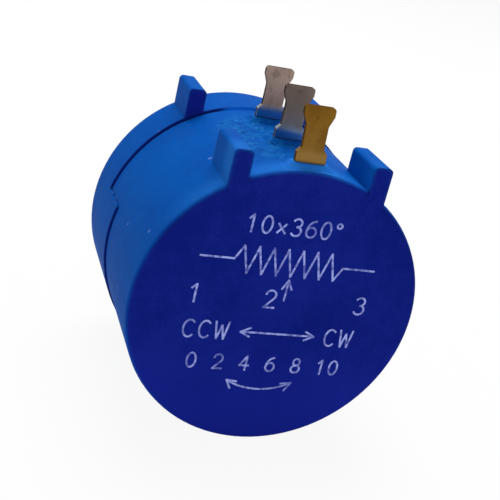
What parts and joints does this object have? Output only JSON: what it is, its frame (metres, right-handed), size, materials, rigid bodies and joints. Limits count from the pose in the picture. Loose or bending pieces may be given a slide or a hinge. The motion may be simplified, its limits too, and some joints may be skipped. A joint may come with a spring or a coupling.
{
  "type": "multiturn potentiometer",
  "caption": "Round blue panel-mounted multiturn potentiometer with a threaded bushing, slotted shaft, solder terminals and a wiper carriage driven along a wound helix.",
  "frame": {"origin": "on the shaft's axis, in the plane of the mounting face at the foot of the bushing", "axes": "+Y along the shaft towards its slotted end, +Z towards the solder terminals, +X to the right when the rear face is looked at"},
  "size_m": [0.0224, 0.0397, 0.0267],
  "materials": {
    "blue_plastic": "moulded, fine matt texture, slight gloss",
    "black_plastic": "moulded, matt",
    "plated_brass": "nickel plated, turned",
    "spring_steel": "bright stamped",
    "contact_metal": "bright, stamped",
    "resistance_wire": "fine wound wire",
    "tinned_metal": "dull tin plate",
    "gold_plating": "gold coloured plate, a little dull"
  },
  "bodies": {
    "body": {"rear_housing": "blue_plastic", "front_cover": "blue_plastic", "mounting_bushing": "plated_brass", "resistance_element": "resistance_wire", "front_strap": "tinned_metal", "rear_strap": "tinned_metal", "terminal_front": "tinned_metal", "terminal_middle": "tinned_metal", "terminal_wiper": "gold_plating", "slip_ring_brush": "contact_metal"},
    "rotor": {"control_shaft": "plated_brass", "retaining_ring": "spring_steel", "thrust_washer": "spring_steel", "spring_washer": "spring_steel", "rotor_spool": "black_plastic", "collector_rail": "contact_metal", "slip_ring": "contact_metal"},
    "carriage": {"wiper_carriage": "black_plastic", "wiper_contact": "contact_metal", "brush_pin": "contact_metal"}
  },
  "joints": [
    {"name": "shaft_turn", "type": "hinge", "parent": "body", "child": "rotor", "pos_m": [0, 0, 0], "axis": [0, -1, 0], "range_deg": [-1800, 1800]},
    {"name": "carriage_slide", "type": "slide", "parent": "rotor", "child": "carriage", "axis": [0, -1, 0], "range_m": [-0.00505, 0.00505]}
  ],
  "couplings": [
    {"joint": "carriage_slide", "follows": "shaft_turn", "m_per_rad": 0.00015915}
  ]
}
